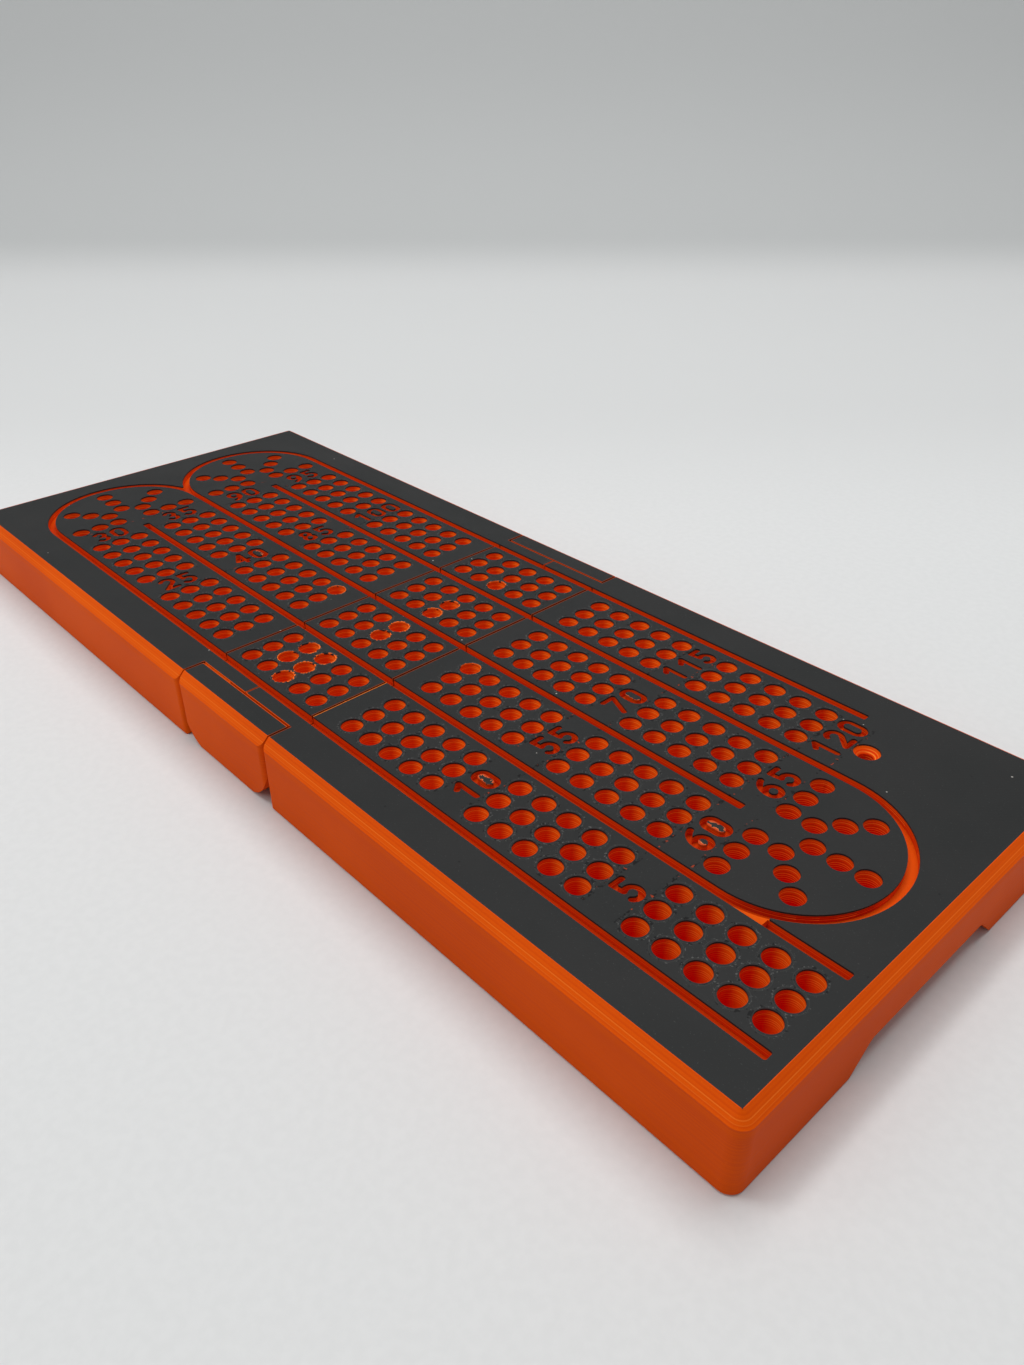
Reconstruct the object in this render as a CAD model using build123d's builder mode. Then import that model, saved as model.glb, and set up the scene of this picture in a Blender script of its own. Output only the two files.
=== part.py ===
from build123d import *
from math import sqrt
import os

# Folding cribbage board: two halves hang on a hinge spine and fold down until their
# undersides meet. X runs along the board, Y across it, Z up. The origin is the middle
# of the footprint, on the table. Millimetres throughout.

os.makedirs("parts", exist_ok=True)

# Board slab
board_thickness = 18.5
rim_chamfer = 2.25
foot_chamfer = 0.4
corner_radius = 3.0
end_margin = 9.2
side_margin = 12.8

# Scoring pattern: four lanes, three holes across, rows in fives
lane_count = 4
lane_pitch = 23.0
row_pitch = 7.0
hole_pitch = 6.0
rows_per_group = 5
peg_hole_diameter = 5.1
peg_hole_depth = 7.0
turn_arm_reach = 7.9
turn_arm_extra = 1.0
turn_arm_angle = 45.0
turn_arm_shift = 0.4
finish_hole_diameter = 3.4
finish_sink_diameter = 5.9

# Printed relief
skin_thickness = 0.4
rim_land = 0.15
groove_width = 2.2
groove_depth = 2.0
turn_straight = 4.1
start_overrun = 4.1
groove_corner_radius = 0.5
web_nose = 0.25
web_overrun = 0.5
numeral_height = 7.1
numeral_width = 4.8
numeral_stroke = 1.45
numeral_advance = 5.6
sliver_reach = 0.8

# Hinge
fold_gap = 0.3
seam_gap = 0.5
centre_gap = 0.3
arm_ledge = 0.25
arm_width = 4.0
seam_edge_radius = 1.5
heel_radius = 1.0
pin_diameter = 3.0
pin_end_chamfer = 0.3
pin_press_clearance = 0.02
pin_running_clearance = 0.06
pin_end_clearance = 0.2
pin_hold_link = 4.8
pin_hold_block = 7.6

# Underside: card well, peg tray, finger notch and magnets
well_length = 66.0
well_width = 92.0
well_depth = 9.0
well_corner_radius = 3.0
tray_width = 12.0
tray_wall = 3.0
tray_seam_wall = 7.0
notch_mouth = 51.0
notch_height = 6.0
notch_middle = -1.3
notch_ceiling_radius = 2.5
notch_lip_radius = 2.0
notch_reach = 9.0
magnet_diameter = 6.0
magnet_thickness = 2.0
magnet_clearance = 0.05
magnet_recess = 0.2
magnet_inset = 9.0

# Positions that follow from the sizes above
group_pitch = (rows_per_group + 1) * row_pitch
first_row = (rows_per_group // 2 + 2) * row_pitch
last_row = first_row + 2 * group_pitch + (rows_per_group - 1) * row_pitch
turn_row = first_row + 2 * group_pitch
half_length = last_row + end_margin
outer_groove = lane_count / 2 * lane_pitch
half_width = outer_groove + side_margin
skin_floor = board_thickness - skin_thickness

knuckle_radius = board_thickness / 2
axis_x = knuckle_radius + fold_gap / 2
axis_z = board_thickness / 2
spine_half = axis_x + knuckle_radius
half_start = spine_half + seam_gap

arm_inner = outer_groove + groove_width / 2 - arm_ledge
arm_outer = arm_inner + arm_width
block_half_width = arm_inner - seam_gap
link_inner = arm_outer + seam_gap
pin_inner = block_half_width - pin_hold_block
pin_outer = link_inner + pin_hold_link

tray_start = half_start + tray_seam_wall
well_start = tray_start + tray_width + tray_wall
magnet_x = half_length - magnet_inset
magnet_y = half_width - magnet_inset

RIGHT = 1
LEFT = -1
FAR = 1
NEAR = -1


def lane_y(lane):
    """Centreline of a lane, counted from 1 at the near side."""
    return (lane - (lane_count + 1) / 2) * lane_pitch


def row_holes(x, lane):
    """The three holes of one row, straight across a lane."""
    return [(x, lane_y(lane) + step * hole_pitch) for step in (-1, 0, 1)]


def group_rows(group):
    """Distances from the middle of the five rows of a group, group 0 nearest the hinge."""
    start = first_row + group * group_pitch
    return [start + row * row_pitch for row in range(rows_per_group)]


def turn_holes(side, y):
    """The three slanting rows of a turn, fanned out around the lane divider at y."""
    points = []
    for angle in (-turn_arm_angle, 0, turn_arm_angle):
        start = turn_arm_reach if angle else turn_arm_reach + turn_arm_extra
        for step in range(3):
            offset = Vector(start + step * hole_pitch, 0).rotate(Axis.Z, angle)
            points.append((side * (turn_row + turn_arm_shift + offset.X), y + offset.Y))
    return points


def half_holes(side):
    """All the plain peg holes of one half."""
    points = []
    for lane in range(1, lane_count + 1):
        for group in (0, 1):
            for x in group_rows(group):
                points += row_holes(side * x, lane)
    if side == RIGHT:
        for x in group_rows(2):
            points += row_holes(x, 1)
        for lane in (2, 3):
            points += row_holes(turn_row, lane)
        points += turn_holes(RIGHT, 0)
    else:
        for lane in range(1, lane_count + 1):
            points += row_holes(-turn_row, lane)
        points += turn_holes(LEFT, -lane_pitch)
        points += turn_holes(LEFT, lane_pitch)
    return points


def block_holes():
    """The middle five rows of every lane, on the hinge block."""
    points = []
    for lane in range(1, lane_count + 1):
        for row in range(rows_per_group):
            points += row_holes((row - rows_per_group // 2) * row_pitch, lane)
    return points


# Grooves that divide the lanes and wrap around the turns
groove_turn = turn_row + turn_straight
groove_start = last_row + start_overrun
groove_stop = turn_row - row_pitch

# The top layer stops short of the thin tips where a turn leaves a straight groove
wrap_radius = lane_pitch + groove_width / 2
straight_edge = lane_pitch - groove_width / 2
right_tip = (groove_turn + sqrt(wrap_radius**2 - straight_edge**2), -straight_edge)
left_tip = (-groove_turn - sqrt(wrap_radius**2 - lane_pitch**2), 0)

# At the right tip a bare web stays standing between the turn and the straight groove
web_start = groove_turn + sqrt(wrap_radius**2 - (wrap_radius - web_nose) ** 2)
web_end = right_tip[0] + web_overrun

with BuildSketch() as winding_grooves:
    with BuildLine():
        Line((groove_start, -outer_groove), (-groove_turn, -outer_groove))
        CenterArc((-groove_turn, -lane_pitch), lane_pitch, 90, 180)
    trace(line_width=groove_width)
    with BuildLine():
        Line((-groove_turn, 0), (groove_stop, 0))
    trace(line_width=groove_width)
    with BuildLine():
        Line((groove_stop, outer_groove), (-groove_turn, outer_groove))
        CenterArc((-groove_turn, lane_pitch), lane_pitch, 90, 180)
    trace(line_width=groove_width)
    with BuildLine():
        Line((-groove_stop, lane_pitch), (groove_turn, lane_pitch))
        CenterArc((groove_turn, 0), lane_pitch, -90, 180)
    trace(line_width=groove_width)


def groove_plan(straights):
    """Plan of all grooves; the one between lanes 1 and 2 is made of straights along X."""
    with BuildSketch(mode=Mode.PRIVATE) as plan:
        add(winding_grooves.sketch)
        for start, end in straights:
            with Locations(((start + end) / 2, -lane_pitch)):
                Rectangle(end - start, groove_width)
        end_corners = [
            corner
            for corner in plan.vertices()
            if corner.X > groove_start - groove_corner_radius
            or abs(abs(corner.X) - groove_stop) < groove_corner_radius
        ]
        fillet(end_corners, groove_corner_radius)
    return plan.sketch


groove_openings = groove_plan([(-groove_stop, groove_start)])
groove_beds = groove_plan([(-groove_stop, web_start), (web_end, groove_start)])

# Score numerals are single strokes with round ends. The stroke's centreline fills a box
# of half-width reach_x and half-height reach_y.
reach_x = (numeral_width - numeral_stroke) / 2
reach_y = (numeral_height - numeral_stroke) / 2


def stroke_zero():
    SlotOverall(2 * reach_y + numeral_stroke, 2 * reach_x + numeral_stroke, rotation=90)
    SlotOverall(2 * reach_y - numeral_stroke, 2 * reach_x - numeral_stroke, rotation=90, mode=Mode.SUBTRACT)


def stroke_one():
    with BuildLine() as line:
        Polyline((-0.65 * reach_x, 0.5 * reach_y), (0.35 * reach_x, reach_y), (0.35 * reach_x, -reach_y))
    SlotArc(line.wire(), numeral_stroke)


def stroke_two():
    bowl_y = reach_y - reach_x
    with BuildLine() as line:
        bowl = CenterArc((0, bowl_y), reach_x, 150, -190)
        Line(bowl @ 1, (-reach_x, -reach_y))
        Line((-reach_x, -reach_y), (reach_x, -reach_y))
    SlotArc(line.wire(), numeral_stroke)


def stroke_three():
    bowl = reach_y / 2
    with BuildLine() as upper:
        CenterArc((0, bowl), bowl, 150, -240)
    with BuildLine() as lower:
        CenterArc((0, -bowl), bowl, 90, -240)
    SlotArc(upper.wire(), numeral_stroke)
    SlotArc(lower.wire(), numeral_stroke)


def stroke_four():
    bar_y = -0.45 * reach_y
    stem_x = 0.4 * reach_x
    with BuildLine() as diagonal:
        Polyline((stem_x, reach_y), (-reach_x, bar_y), (reach_x, bar_y))
    with BuildLine() as stem:
        Line((stem_x, reach_y), (stem_x, -reach_y))
    SlotArc(diagonal.wire(), numeral_stroke)
    SlotArc(stem.wire(), numeral_stroke)


def stroke_five():
    bowl_y = reach_x - reach_y
    with BuildLine() as line:
        bowl = CenterArc((0, bowl_y), reach_x, -145, 270)
        Line(bowl @ 1, (-0.75 * reach_x, reach_y))
        Line((-0.75 * reach_x, reach_y), (0.8 * reach_x, reach_y))
    SlotArc(line.wire(), numeral_stroke)


def stroke_six(turn=0):
    bowl_y = reach_x - reach_y
    with BuildSketch(mode=Mode.PRIVATE) as glyph:
        with Locations((0, bowl_y)):
            Circle(reach_x + numeral_stroke / 2)
            Circle(reach_x - numeral_stroke / 2, mode=Mode.SUBTRACT)
        with BuildLine() as hook:
            ThreePointArc((-reach_x, bowl_y), (-0.5 * reach_x, 0.55 * reach_y), (0.7 * reach_x, reach_y))
        SlotArc(hook.wire(), numeral_stroke)
        with Locations((0, bowl_y)):
            Circle(reach_x - numeral_stroke / 2, mode=Mode.SUBTRACT)
    add(glyph.sketch, rotation=turn)


def stroke_seven():
    with BuildLine() as line:
        Polyline((-reach_x, reach_y), (reach_x, reach_y), (-0.45 * reach_x, -reach_y))
    SlotArc(line.wire(), numeral_stroke)


def stroke_eight():
    upper = 0.92 * reach_y / 2
    lower = reach_y - upper
    for middle, radius in ((reach_y - upper, upper), (lower - reach_y, lower)):
        with Locations((0, middle)):
            Circle(radius + numeral_stroke / 2)
    for middle, radius in ((reach_y - upper, upper), (lower - reach_y, lower)):
        with Locations((0, middle)):
            Circle(radius - numeral_stroke / 2, mode=Mode.SUBTRACT)


def stroke_nine():
    stroke_six(turn=180)


strokes = [
    stroke_zero,
    stroke_one,
    stroke_two,
    stroke_three,
    stroke_four,
    stroke_five,
    stroke_six,
    stroke_seven,
    stroke_eight,
    stroke_nine,
]


def numeral(number, x, lane):
    """A number read from the right-hand end of the board, centred on a lane at x."""
    digits = str(number)
    for place, digit in enumerate(digits):
        with BuildSketch(mode=Mode.PRIVATE) as glyph:
            strokes[int(digit)]()
        y = lane_y(lane) + (place - (len(digits) - 1) / 2) * numeral_advance
        with Locations((x, y)):
            add(glyph.sketch, rotation=90)


inner_label = first_row + group_pitch - row_pitch
outer_label = inner_label + group_pitch

with BuildSketch() as right_numerals:
    numeral(10, inner_label, 1)
    numeral(5, outer_label, 1)
    numeral(55, inner_label, 2)
    numeral(60, outer_label, 2)
    numeral(70, inner_label, 3)
    numeral(65, outer_label, 3)
    numeral(115, inner_label, 4)
    numeral(120, outer_label, 4)

with BuildSketch() as left_numerals:
    numeral(25, -inner_label, 1)
    numeral(30, -outer_label, 1)
    numeral(40, -inner_label, 2)
    numeral(35, -outer_label, 2)
    numeral(85, -inner_label, 3)
    numeral(90, -outer_label, 3)
    numeral(100, -inner_label, 4)
    numeral(95, -outer_label, 4)

# The whole slab, before the hinge splits it
with BuildPart() as slab:
    with BuildSketch():
        RectangleRounded(2 * half_length, 2 * half_width, corner_radius)
    extrude(amount=board_thickness)
    chamfer(slab.faces().sort_by(Axis.Z)[-1].edges(), rim_chamfer)
    chamfer(slab.faces().sort_by(Axis.Z)[0].edges(), foot_chamfer)

# The thin contrasting layer on top of the slab
skin_half_length = half_length - rim_chamfer - rim_land
skin_half_width = half_width - rim_chamfer - rim_land

with BuildSketch() as skin_outline:
    Rectangle(2 * skin_half_length, 2 * skin_half_width)


def side_view(start, end, toe_radius, both_ends=False):
    """Side outline from start to end of X and from the table to the top, low corners rounded."""
    with BuildSketch(mode=Mode.PRIVATE) as outline:
        with Locations(((start + end) / 2, board_thickness / 2)):
            Rectangle(abs(end - start), board_thickness)
        low = outline.vertices().group_by(Axis.Y)[0]
        toes = low if both_ends else low.sort_by(Axis.X, reverse=start > end)[0:1]
        fillet(toes, toe_radius)
    return outline.sketch


def half_plan(side):
    """Plan of a half: the panel and its two arms."""
    with BuildSketch(mode=Mode.PRIVATE) as plan:
        with Locations((side * (half_start + half_length) / 2, 0)):
            Rectangle(half_length - half_start, 2 * half_width)
        arm_length = half_start - centre_gap / 2
        arm_y = (arm_inner + arm_outer) / 2
        arm_x = side * (centre_gap / 2 + arm_length / 2)
        with Locations((arm_x, arm_y), (arm_x, -arm_y)):
            Rectangle(arm_length, arm_width)
    return plan.sketch


def link_plan(side):
    """Plan of an edge link on the near or the far side, its outer corners rounded."""
    with BuildSketch(mode=Mode.PRIVATE) as plan:
        with Locations((0, side * (link_inner + half_width) / 2)):
            Rectangle(2 * spine_half, half_width - link_inner)
        outer_corners = plan.vertices().sort_by(Axis.Y, reverse=side == FAR)[0:2]
        fillet(outer_corners, seam_edge_radius)
    return plan.sketch


def layer_seat(plan):
    """Where the top layer lies on a piece: inside the rim, and short of every seam."""
    with BuildSketch(mode=Mode.PRIVATE) as seat:
        add(plan)
        offset(amount=-rim_land, kind=Kind.INTERSECTION)
        add(skin_outline.sketch, mode=Mode.INTERSECT)
    return seat.sketch


def notch_outline():
    """Finger notch seen from the end: flanks at 45 degrees, rounded to the ceiling and at the lips."""
    half_mouth = notch_mouth / 2
    half_ceiling = half_mouth - notch_height
    with BuildSketch(mode=Mode.PRIVATE) as outline:
        with BuildLine():
            Polyline(
                (notch_middle - half_mouth, 0),
                (notch_middle + half_mouth, 0),
                (notch_middle + half_ceiling, notch_height),
                (notch_middle - half_ceiling, notch_height),
                close=True,
            )
        make_face()
        with Locations((notch_middle, -notch_height / 2)):
            Rectangle(notch_mouth + 2 * notch_height, notch_height)
        lips = outline.vertices().group_by(Axis.Y)[1].sort_by(Axis.X)[1:3]
        fillet(lips, notch_lip_radius)
        fillet(outline.vertices().group_by(Axis.Y)[-1], notch_ceiling_radius)
    return outline.sketch


def mouths(points, diameter=peg_hole_diameter):
    """Plan of round openings of one diameter."""
    with BuildSketch(mode=Mode.PRIVATE) as rounds:
        with Locations(*points):
            Circle(diameter / 2)
    return rounds.sketch


def cut_from_top(sketch, depth):
    """A flat-bottomed cut of any outline, sunk from the top."""
    with BuildSketch(Plane.XY.offset(board_thickness)) as outline:
        add(sketch)
    extrude(outline.sketch, amount=-depth, mode=Mode.SUBTRACT)


def pin_bores(places, radius, inner, outer):
    """Bores for the hinge pins, across the board between two distances from its middle."""
    for start in (inner, -outer):
        with BuildSketch(Plane.XZ.offset(start)) as rounds:
            with Locations(*[(x, axis_z) for x in places]):
                Circle(radius)
        extrude(rounds.sketch, amount=outer - inner, mode=Mode.SUBTRACT)


def make_half(side, numerals):
    """One half of the board with its arms, holes, relief, well, tray, notch and pockets."""
    with BuildPart() as half:
        # The panel ends at the seam, its upright seam edges and its heel rounded
        with BuildSketch() as plan:
            with Locations((side * (half_start + half_length) / 2, 0)):
                Rectangle(half_length - half_start, 2 * half_width)
            seam_corners = plan.vertices().sort_by(Axis.X, reverse=side == LEFT)[0:2]
            fillet(seam_corners, seam_edge_radius)
        extrude(amount=board_thickness)
        with BuildSketch(Plane.XZ):
            add(side_view(side * half_start, side * half_length, heel_radius))
        extrude(amount=half_width, both=True, mode=Mode.INTERSECT)

        # Two arms reach past the seam; their toes are round about the hinge axis
        arm_root = half_start + arm_width
        for arm_start in (arm_inner, -arm_outer):
            with BuildSketch(Plane.XZ.offset(arm_start)):
                add(side_view(side * centre_gap / 2, side * arm_root, knuckle_radius))
            extrude(amount=arm_width)
        add(slab.part, mode=Mode.INTERSECT)
        pin_bores([side * axis_x], pin_diameter / 2 + pin_running_clearance, arm_inner, arm_outer)

        cut_from_top(layer_seat(half_plan(side)), skin_thickness)
        cut_from_top(mouths(half_holes(side)), peg_hole_depth)
        cut_from_top(groove_beds, groove_depth)
        cut_from_top(numerals.sketch, groove_depth)
        if side == RIGHT:
            with Locations((*finish_hole, skin_floor)):
                CounterSinkHole(
                    finish_hole_diameter / 2,
                    finish_sink_diameter / 2,
                    peg_hole_depth - skin_thickness,
                    counter_sink_angle=90,
                )

        # Card well and peg tray, open at the underside
        with BuildSketch():
            with Locations((side * (well_start + well_length / 2), 0)):
                RectangleRounded(well_length, well_width, well_corner_radius)
            with Locations((side * (tray_start + tray_width / 2), 0)):
                RectangleRounded(tray_width, well_width, well_corner_radius)
        extrude(amount=well_depth, mode=Mode.SUBTRACT)

        # Finger notch in the free end
        with BuildSketch(Plane.YZ.offset(side * half_length)):
            add(notch_outline())
        extrude(amount=-side * notch_reach, mode=Mode.SUBTRACT)

        # Magnet pockets near the free corners
        with BuildSketch():
            with Locations((side * magnet_x, magnet_y), (side * magnet_x, -magnet_y)):
                Circle(magnet_diameter / 2 + magnet_clearance)
        extrude(amount=magnet_recess + magnet_thickness + magnet_clearance, mode=Mode.SUBTRACT)
    return half


finish_hole = (turn_row, lane_y(lane_count))

right_half = make_half(RIGHT, right_numerals)
right_half.part.label = "right_half"
export_step(right_half.part, "parts/right_half.step")

left_half = make_half(LEFT, left_numerals)
left_half.part.label = "left_half"
export_step(left_half.part, "parts/left_half.step")

# The spine: a block under the middle rows and a link at each edge
with BuildPart() as spine:
    with BuildSketch(Plane.XZ):
        add(side_view(-spine_half, spine_half, knuckle_radius, both_ends=True))
    extrude(amount=half_width, both=True)
    add(slab.part, mode=Mode.INTERSECT)

with BuildSketch() as block_plan:
    Rectangle(2 * spine_half, 2 * block_half_width)

with BuildPart() as centre_block:
    add(spine.part)
    extrude(block_plan.sketch, amount=board_thickness, mode=Mode.INTERSECT)
    pin_bores(
        [-axis_x, axis_x],
        pin_diameter / 2 + pin_press_clearance,
        pin_inner - pin_end_clearance,
        arm_inner,
    )
    cut_from_top(layer_seat(block_plan.sketch), skin_thickness)
    cut_from_top(mouths(block_holes()), peg_hole_depth)
    cut_from_top(groove_beds, groove_depth)

centre_block.part.label = "centre_block"
export_step(centre_block.part, "parts/centre_block.step")


def make_link(side):
    """One edge link with its two blind pin bores."""
    with BuildPart() as link:
        add(spine.part)
        extrude(link_plan(side), amount=board_thickness, mode=Mode.INTERSECT)
        pin_bores(
            [-axis_x, axis_x],
            pin_diameter / 2 + pin_press_clearance,
            arm_outer,
            pin_outer + pin_end_clearance,
        )
        cut_from_top(layer_seat(link_plan(side)), skin_thickness)
    return link


near_link = make_link(NEAR)
near_link.part.label = "near_link"
export_step(near_link.part, "parts/near_link.step")

far_link = make_link(FAR)
far_link.part.label = "far_link"
export_step(far_link.part, "parts/far_link.step")


# Top layers, one to each printed piece
def make_skin(plan, cuts):
    """The contrasting layer over one piece, less the outlines cut into that piece."""
    with BuildPart() as skin:
        with BuildSketch(Plane.XY.offset(skin_floor)):
            add(layer_seat(plan))
            for cut in cuts:
                add(cut, mode=Mode.SUBTRACT)
        extrude(amount=skin_thickness)
    return skin


right_cuts = [
    groove_openings,
    right_numerals.sketch,
    mouths(half_holes(RIGHT)),
    mouths([finish_hole], finish_sink_diameter),
    mouths([right_tip], 2 * sliver_reach),
]
right_top = make_skin(half_plan(RIGHT), right_cuts)
right_top.part.label = "right_top_layer"
export_step(right_top.part, "parts/right_top_layer.step")

left_cuts = [
    groove_openings,
    left_numerals.sketch,
    mouths(half_holes(LEFT)),
    mouths([left_tip], 2 * sliver_reach),
]
left_top = make_skin(half_plan(LEFT), left_cuts)
left_top.part.label = "left_top_layer"
export_step(left_top.part, "parts/left_top_layer.step")

block_top = make_skin(block_plan.sketch, [groove_openings, mouths(block_holes())])
block_top.part.label = "block_top_layer"
export_step(block_top.part, "parts/block_top_layer.step")

near_link_top = make_skin(link_plan(NEAR), [])
near_link_top.part.label = "near_link_top_layer"
export_step(near_link_top.part, "parts/near_link_top_layer.step")

far_link_top = make_skin(link_plan(FAR), [])
far_link_top.part.label = "far_link_top_layer"
export_step(far_link_top.part, "parts/far_link_top_layer.step")


def make_pin(x, side):
    """A hinge pin: pressed into block and link, with an arm turning on it in between."""
    with BuildPart() as pin:
        with BuildSketch(Plane.XZ.offset(pin_inner if side == NEAR else -pin_outer)):
            with Locations((x, axis_z)):
                Circle(pin_diameter / 2)
        extrude(amount=pin_outer - pin_inner)
        chamfer(pin.edges().filter_by(GeomType.CIRCLE), pin_end_chamfer)
    return pin


for side_name, side in (("near", NEAR), ("far", FAR)):
    for end_name, end in (("left", LEFT), ("right", RIGHT)):
        pin = make_pin(end * axis_x, side)
        pin.part.label = f"{side_name}_{end_name}_pin"
        export_step(pin.part, f"parts/{side_name}_{end_name}_pin.step")


def make_magnet(x, y):
    """A disc magnet, sunk a little below the underside."""
    with BuildPart() as magnet:
        with BuildSketch(Plane.XY.offset(magnet_recess)):
            with Locations((x, y)):
                Circle(magnet_diameter / 2)
        extrude(amount=magnet_thickness)
    return magnet


for side_name, side in (("near", NEAR), ("far", FAR)):
    for end_name, end in (("left", LEFT), ("right", RIGHT)):
        magnet = make_magnet(end * magnet_x, side * magnet_y)
        magnet.part.label = f"{side_name}_{end_name}_magnet"
        export_step(magnet.part, f"parts/{side_name}_{end_name}_magnet.step")
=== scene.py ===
# %% [markdown]
# # A folding cribbage board
#
# The board is a two-colour print: an orange body with a thin black layer on top. Two
# halves hang on a hinge spine and fold down until their undersides meet.
#
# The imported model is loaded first. Its solids already have the right shapes, so most of
# the work here is their finish: print layers, worn hole rims, dust and steel.

import math
from collections import namedtuple

import bpy
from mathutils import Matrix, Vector


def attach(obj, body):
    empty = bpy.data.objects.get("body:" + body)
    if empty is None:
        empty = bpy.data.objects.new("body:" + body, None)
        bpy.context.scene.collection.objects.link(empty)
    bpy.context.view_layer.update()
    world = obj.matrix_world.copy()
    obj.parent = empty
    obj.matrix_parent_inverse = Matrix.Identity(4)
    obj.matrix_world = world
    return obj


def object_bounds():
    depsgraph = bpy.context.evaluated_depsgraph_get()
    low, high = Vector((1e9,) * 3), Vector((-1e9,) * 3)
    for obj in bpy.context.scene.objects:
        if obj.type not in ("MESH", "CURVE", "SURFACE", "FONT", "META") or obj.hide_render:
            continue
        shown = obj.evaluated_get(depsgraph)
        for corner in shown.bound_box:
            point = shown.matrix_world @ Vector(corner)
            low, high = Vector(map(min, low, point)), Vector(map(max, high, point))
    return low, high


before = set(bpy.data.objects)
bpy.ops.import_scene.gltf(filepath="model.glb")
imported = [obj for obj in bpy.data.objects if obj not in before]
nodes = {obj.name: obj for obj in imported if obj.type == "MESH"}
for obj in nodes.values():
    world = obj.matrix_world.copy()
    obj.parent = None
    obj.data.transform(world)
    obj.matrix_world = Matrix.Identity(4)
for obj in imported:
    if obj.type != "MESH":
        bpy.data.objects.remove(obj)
cad_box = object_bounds()

# %% [markdown]
# ## The grid of the board
#
# Most details of the finish follow the same grid as the peg holes, so its few sizes are
# written down once, in metres: three holes across each of four lanes, rows 7 mm apart.
# The origin is in the middle of the board on the floor, X runs along it to the right end
# and Y across it to the far side. At the right end the track turns once, around the
# middle, and at the left end twice, so a turn's centre needs only one distance.

# %% Grid sizes
MM = 0.001
TOP = cad_box[1][2]
HALF_LENGTH = cad_box[1][0]
HALF_WIDTH = cad_box[1][1]
ROW = 7.0 * MM
LANE = 23.0 * MM
ACROSS = 6.0 * MM
HOLE_RADIUS = 2.55 * MM
HOLE_DEPTH = 7.0 * MM
GROOVE_WIDTH = 2.2 * MM
GROOVE_DEPTH = 2.0 * MM
RIM = 2.4 * MM
LINK_SEAM_Y = 51.1 * MM
CROSS_SEAM_X = 18.9 * MM
TURN_X = 116.1 * MM


def hole(row, lane, step):
    """Centre of a peg hole: row counted from the middle, lane 1 to 4, step -1 near to 1 far."""
    return (row * ROW, (lane - 2.5) * LANE + step * ACROSS)


print("board:", round(2 * HALF_LENGTH, 4), "x", round(2 * HALF_WIDTH, 4), "x", round(TOP, 4))

# %% [markdown]
# ## Node helpers
#
# A material is a graph of nodes. These helpers add a node, set its plain values and join
# it to others in one line, so that the recipes below read like short formulas.

# %% Helpers: nodes and arithmetic


def add_node(tree, kind, inputs=None, **settings):
    """A shader node with its settings, and with values or links for its inputs."""
    node = tree.nodes.new(kind)
    for name, value in settings.items():
        setattr(node, name, value)
    for key, value in (inputs or {}).items():
        if isinstance(value, bpy.types.NodeSocket):
            tree.links.new(value, node.inputs[key])
        else:
            node.inputs[key].default_value = value
    return node


def math_node(tree, operation, first, second=0.0, third=None, clamp=False):
    """One arithmetic step; returns its result."""
    values = {0: first, 1: second}
    if third is not None:
        values[2] = third
    return add_node(tree, "ShaderNodeMath", values, operation=operation, use_clamp=clamp).outputs[0]


def times(tree, *factors):
    """The product of two or more values."""
    product = factors[0]
    for factor in factors[1:]:
        product = math_node(tree, "MULTIPLY", product, factor)
    return product


def minus(tree, first, second):
    """The difference of two values."""
    return math_node(tree, "SUBTRACT", first, second)


def absolute(tree, value):
    """A value without its sign."""
    return math_node(tree, "ABSOLUTE", value)


def scaled(tree, value, factor, start):
    """A value times a factor, added to a start value."""
    return math_node(tree, "MULTIPLY_ADD", value, factor, start)


print("helpers: nodes and arithmetic")

# %% [markdown]
# ## Masks and vectors
#
# Most marks are drawn the same way: measure how far a point lies from a line or a hole,
# and turn that distance into a mask between 0 and 1. A smooth ramp does this without hard
# edges, and `near` is a ramp on both sides of a middle value.

# %% Helpers: masks, vectors and noise
Spot = namedtuple("Spot", "place x y z")


def ramp(tree, value, low, high, out_low=0.0, out_high=1.0):
    """A value mapped smoothly from one range to another, held at both ends."""
    node = add_node(
        tree,
        "ShaderNodeMapRange",
        {"Value": value, "From Min": low, "From Max": high, "To Min": out_low, "To Max": out_high},
        interpolation_type="SMOOTHSTEP",
    )
    return node.outputs["Result"]


def near(tree, value, middle, full, none, strength=1.0):
    """Full strength where a value lies close to a middle, and nothing further off."""
    return ramp(tree, absolute(tree, minus(tree, value, middle)), full, none, strength, 0.0)


def vector_node(tree, operation, first, second=(0.0, 0.0, 0.0), output="Vector"):
    """One step of vector arithmetic; returns the output that is asked for."""
    return add_node(tree, "ShaderNodeVectorMath", {0: first, 1: second}, operation=operation).outputs[output]


def noise(tree, place, scale, detail):
    """Smooth random values over the surface, about one half on average."""
    values = {"Vector": place, "Scale": scale, "Detail": detail}
    return add_node(tree, "ShaderNodeTexNoise", values).outputs["Fac"]


def board_spot(tree):
    """The shaded point on the board, as a vector and as its three parts, in metres."""
    place = add_node(tree, "ShaderNodeTexCoord").outputs["Object"]
    parts = add_node(tree, "ShaderNodeSeparateXYZ", {0: place}).outputs
    return Spot(place, parts["X"], parts["Y"], parts["Z"])


print("helpers: masks, vectors and noise")

# %% [markdown]
# ## Colours, groups and surfaces
#
# Colours are written as screen values from 0 to 255 and turned into the linear values
# that shaders use. A node group is a recipe that is built once and placed many times, in
# one material or in several. Every finish of the board ends in the same way: a bump, one
# Principled shader and the output.

# %% Helpers: colours, groups and surfaces
FLOAT = "NodeSocketFloat"
VECTOR = "NodeSocketVector"


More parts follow.
